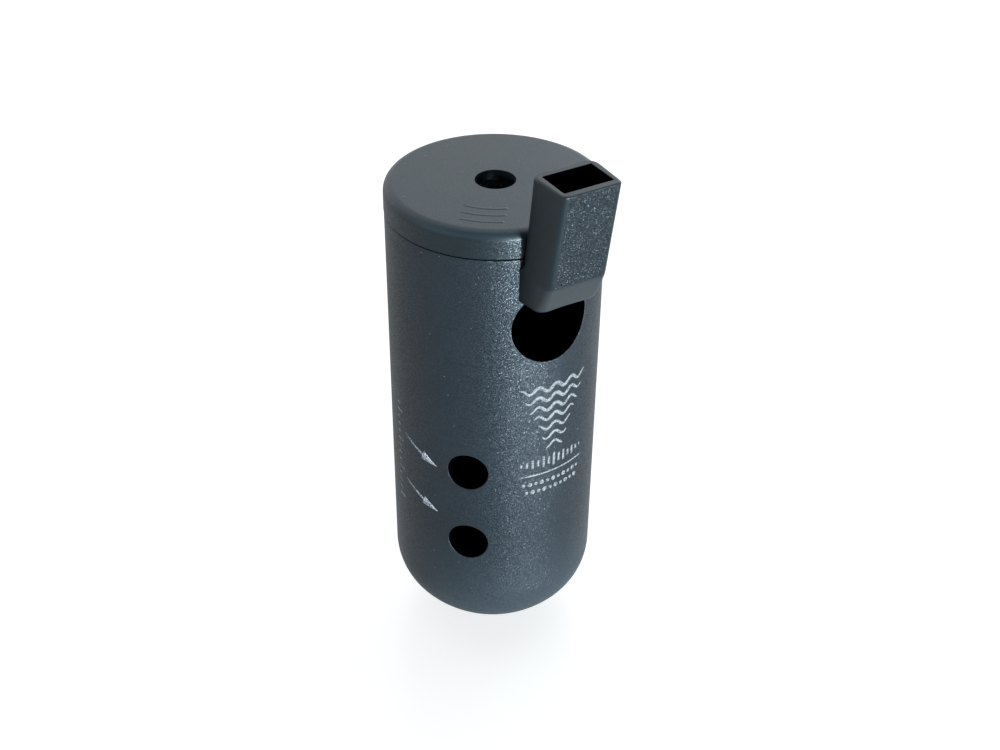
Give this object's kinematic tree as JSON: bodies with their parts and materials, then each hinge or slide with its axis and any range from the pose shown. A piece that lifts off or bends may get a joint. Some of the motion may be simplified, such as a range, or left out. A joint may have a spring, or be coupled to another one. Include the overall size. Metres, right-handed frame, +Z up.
{
  "type": "bird call",
  "caption": "Closed-tube bird call: mouthpiece with a slit above a round window, finger holes low on the side, domed foot and a lift-off end cap with a tone hole.",
  "frame": {"origin": "centre of the small flat foot under the domed end, on the chamber's axis", "axes": "+Z up the chamber's axis from the foot to the cap; the mouthpiece is on the -Y side; the finger holes are on the -X, -Y side"},
  "size_m": [0.0508, 0.0641, 0.1343],
  "materials": {
    "chamber_plastic": "fine spark-eroded grain",
    "mouthpiece_plastic": "grained front, smooth satin sides",
    "cap_plastic": "smooth satin top"
  },
  "bodies": {
    "call_body": {"chamber": "chamber_plastic", "mouthpiece": "mouthpiece_plastic"},
    "cap": {"end_cap": "cap_plastic"}
  },
  "joints": [
    {"name": "cap_lift", "type": "slide", "parent": "call_body", "child": "cap", "axis": [0, 0, 1], "range_m": [0, 0.04]}
  ]
}
